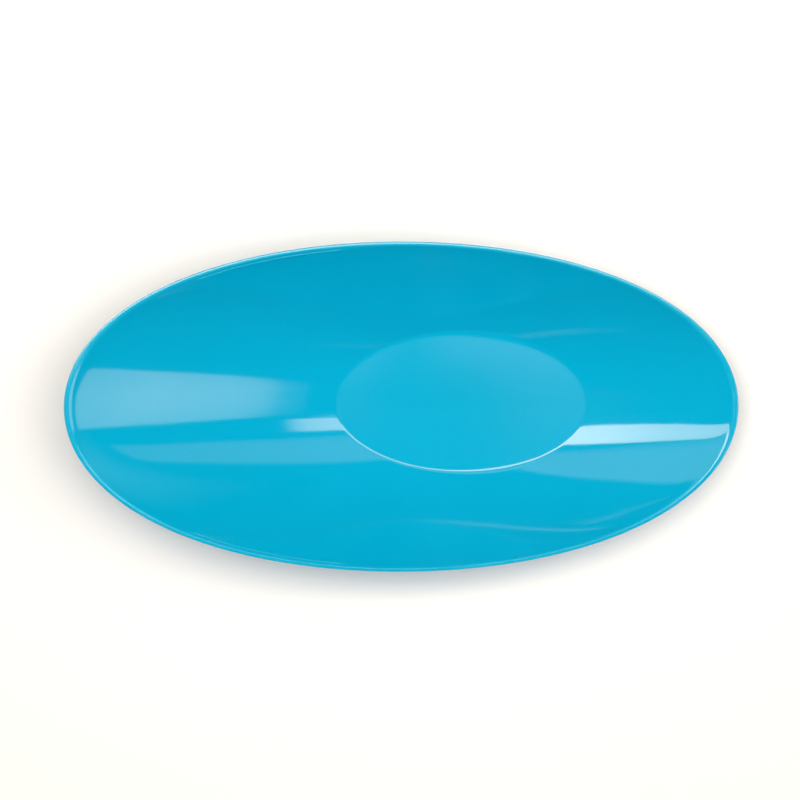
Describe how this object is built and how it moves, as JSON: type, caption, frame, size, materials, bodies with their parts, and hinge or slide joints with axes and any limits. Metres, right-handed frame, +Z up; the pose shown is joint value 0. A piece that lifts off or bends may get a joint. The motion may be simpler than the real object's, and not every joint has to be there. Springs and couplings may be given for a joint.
{
  "type": "oval dish",
  "caption": "Oval open dish with a slanted rim, high at one end, and a flat oval well set toward the low end; one moulded glossy turquoise shell on a foot ring.",
  "frame": {"origin": "on the table, under the middle of the rim's outline (bottom centre of the bounding box)", "axes": "+X along the length toward the low end of the rim, +Y across the dish, +Z up"},
  "size_m": [0.38, 0.186, 0.0798],
  "materials": {
    "shell": "high gloss"
  },
  "bodies": {
    "root": {"dish": "shell"}
  },
  "joints": []
}
